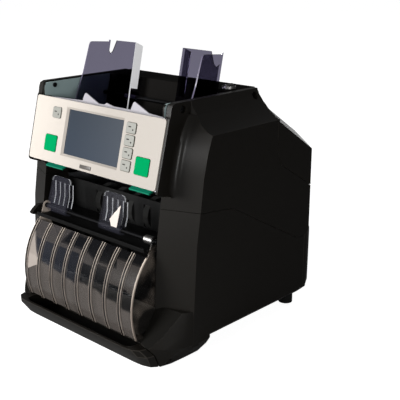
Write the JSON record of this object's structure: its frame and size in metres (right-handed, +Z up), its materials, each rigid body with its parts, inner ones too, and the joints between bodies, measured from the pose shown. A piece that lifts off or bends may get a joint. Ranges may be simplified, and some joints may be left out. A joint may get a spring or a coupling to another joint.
{
  "type": "banknote counter",
  "caption": "Desktop banknote counter with a top hopper and guides, slanted key panel, clear-stopped reject pocket, curved stacker cover and a lifting upper unit.",
  "frame": {"origin": "centre of the bounding box at the level of the feet", "axes": "+Z up, -Y towards the front with the key panel and pockets, X across the machine"},
  "size_m": [0.3, 0.289, 0.3485],
  "materials": {
    "casing": "fine matt grain, near black",
    "casing_satin": "satin, near black",
    "dark_plastic": "satin black",
    "panel_white": "satin warm white",
    "hopper_grey": "satin grey",
    "fin_white": "satin white",
    "screen_glass": "smooth slate",
    "key_grey": "satin grey",
    "key_green": "satin green",
    "lever_green": "satin teal",
    "smoke": "smoke tinted, clear",
    "clear": "clear",
    "steel": "brushed",
    "rubber": "matt",
    "floor_grey": "satin grey",
    "board": "solder mask"
  },
  "bodies": {
    "base": {"lower_side_cover_right": "casing", "lower_side_cover_left": "casing", "front_tray": "casing", "base_pan": "dark_plastic", "lower_rear_cover": "casing", "power_inlet": "dark_plastic", "rear_foot_right": "rubber", "rear_foot_left": "rubber", "front_pad_right": "rubber", "front_pad_left": "rubber", "lower_frame_right": "steel", "lower_frame_left": "steel", "hinge_pin": "steel", "reject_shelf": "casing_satin", "reject_back_plate": "dark_plastic", "front_rod": "steel", "stacker_floor": "floor_grey", "stacker_back_plate": "dark_plastic", "lower_path_plate": "steel", "drive_motor": "steel", "main_board": "board"},
    "upper_unit": {"upper_side_cover_right": "casing", "upper_side_cover_left": "casing", "upper_rear_cover": "casing", "top_deck": "casing_satin", "upper_frame_right": "steel", "upper_frame_left": "steel", "upper_path_plate": "steel", "hopper_floor": "dark_plastic", "panel_bezel": "panel_white", "display": "screen_glass", "panel_housing": "dark_plastic", "panel_board": "board", "hopper_front_plate": "fin_white", "hopper_wall_right": "hopper_grey", "hopper_wall_left": "hopper_grey", "front_beam": "dark_plastic", "guide_rail": "steel"},
    "power_rocker": {"power_rocker": "dark_plastic"},
    "stopper_left": {"stopper_left": "clear"},
    "stopper_right": {"stopper_right": "clear"},
    "stacker_cover": {"stacker_cover": "smoke"},
    "stacker_wheels": {"stacker_wheels": "rubber"},
    "reject_wheels": {"reject_wheels": "rubber"},
    "drive_roller": {"drive_roller": "rubber"},
    "gap_knob": {"gap_knob": "casing_satin"},
    "idler_roller": {"idler_roller": "rubber"},
    "pickup_roller": {"pickup_roller": "rubber"},
    "feed_roller": {"feed_roller": "rubber"},
    "key_menu": {"key_menu": "key_grey"},
    "key_1": {"key_1": "key_grey"},
    "key_2": {"key_2": "key_grey"},
    "key_3": {"key_3": "key_grey"},
    "key_4": {"key_4": "key_grey"},
    "key_start_left": {"key_start_left": "key_green"},
    "key_start_right": {"key_start_right": "key_green"},
    "release_lever": {"release_lever": "lever_green"},
    "guide_right": {"guide_right": "smoke"},
    "guide_left": {"guide_left": "smoke"}
  },
  "joints": [
    {"name": "upper_lift", "type": "hinge", "parent": "base", "child": "upper_unit", "pos_m": [0, 0.12276, 0.11787], "axis": [-1, 0, 0], "range_deg": [0, 35]},
    {"name": "stopper_left_tilt", "type": "hinge", "parent": "base", "child": "stopper_left", "pos_m": [0, -0.09614, 0.145], "axis": [1, 0, 0], "range_deg": [0, 50], "stiffness_Nm_per_rad": 0.02},
    {"name": "stopper_right_tilt", "type": "hinge", "parent": "base", "child": "stopper_right", "pos_m": [0, -0.09614, 0.145], "axis": [1, 0, 0], "range_deg": [0, 50], "stiffness_Nm_per_rad": 0.02},
    {"name": "stacker_cover_swing", "type": "hinge", "parent": "base", "child": "stacker_cover", "pos_m": [0, -0.09614, 0.145], "axis": [-1, 0, 0], "range_deg": [0, 50]},
    {"name": "stacker_spin", "type": "hinge", "parent": "base", "child": "stacker_wheels", "pos_m": [0, -0.02714, 0.084], "axis": [1, 0, 0], "continuous": true},
    {"name": "reject_spin", "type": "hinge", "parent": "base", "child": "reject_wheels", "pos_m": [0, -0.03714, 0.152], "axis": [1, 0, 0], "continuous": true},
    {"name": "drive_spin", "type": "hinge", "parent": "base", "child": "drive_roller", "pos_m": [0, 0.04354, 0.13302], "axis": [1, 0, 0], "continuous": true},
    {"name": "idler_spin", "type": "hinge", "parent": "upper_unit", "child": "idler_roller", "pos_m": [0, 0.05374, 0.15319], "axis": [1, 0, 0], "continuous": true},
    {"name": "feed_spin", "type": "hinge", "parent": "upper_unit", "child": "feed_roller", "pos_m": [0, -0.06614, 0.226], "axis": [1, 0, 0], "continuous": true},
    {"name": "pickup_spin", "type": "hinge", "parent": "upper_unit", "child": "pickup_roller", "pos_m": [0, -0.03314, 0.232], "axis": [1, 0, 0], "continuous": true},
    {"name": "power_rock", "type": "hinge", "parent": "base", "child": "power_rocker", "pos_m": [-0.0658, 0.13976, 0.066], "axis": [1, 0, 0], "range_deg": [0, 14]},
    {"name": "gap_turn", "type": "hinge", "parent": "upper_unit", "child": "gap_knob", "pos_m": [0.097, 0.03286, 0.303], "axis": [0, 0, 1], "range_deg": [0, 270]},
    {"name": "release_lift", "type": "hinge", "parent": "upper_unit", "child": "release_lever", "pos_m": [0, -0.07614, 0.208], "axis": [-1, 0, 0], "range_deg": [0, 12], "stiffness_Nm_per_rad": 0.1},
    {"name": "guide_right_slide", "type": "slide", "parent": "upper_unit", "child": "guide_right", "axis": [-1, 0, 0], "range_m": [0, 0.038]},
    {"name": "guide_left_slide", "type": "slide", "parent": "upper_unit", "child": "guide_left", "axis": [1, 0, 0], "range_m": [0, 0.038]},
    {"name": "key_menu_press", "type": "slide", "parent": "upper_unit", "child": "key_menu", "axis": [0, 0.9684, -0.2494], "range_m": [0, 0.001], "stiffness_N_per_m": 400},
    {"name": "key_1_press", "type": "slide", "parent": "upper_unit", "child": "key_1", "axis": [0, 0.9684, -0.2494], "range_m": [0, 0.001], "stiffness_N_per_m": 400},
    {"name": "key_2_press", "type": "slide", "parent": "upper_unit", "child": "key_2", "axis": [0, 0.9684, -0.2494], "range_m": [0, 0.001], "stiffness_N_per_m": 400},
    {"name": "key_3_press", "type": "slide", "parent": "upper_unit", "child": "key_3", "axis": [0, 0.9684, -0.2494], "range_m": [0, 0.001], "stiffness_N_per_m": 400},
    {"name": "key_4_press", "type": "slide", "parent": "upper_unit", "child": "key_4", "axis": [0, 0.9684, -0.2494], "range_m": [0, 0.001], "stiffness_N_per_m": 400},
    {"name": "key_start_left_press", "type": "slide", "parent": "upper_unit", "child": "key_start_left", "axis": [0, 0.9684, -0.2494], "range_m": [0, 0.001], "stiffness_N_per_m": 400},
    {"name": "key_start_right_press", "type": "slide", "parent": "upper_unit", "child": "key_start_right", "axis": [0, 0.9684, -0.2494], "range_m": [0, 0.001], "stiffness_N_per_m": 400}
  ],
  "couplings": [
    {"joint": "guide_left_slide", "follows": "guide_right_slide", "ratio": 1}
  ]
}
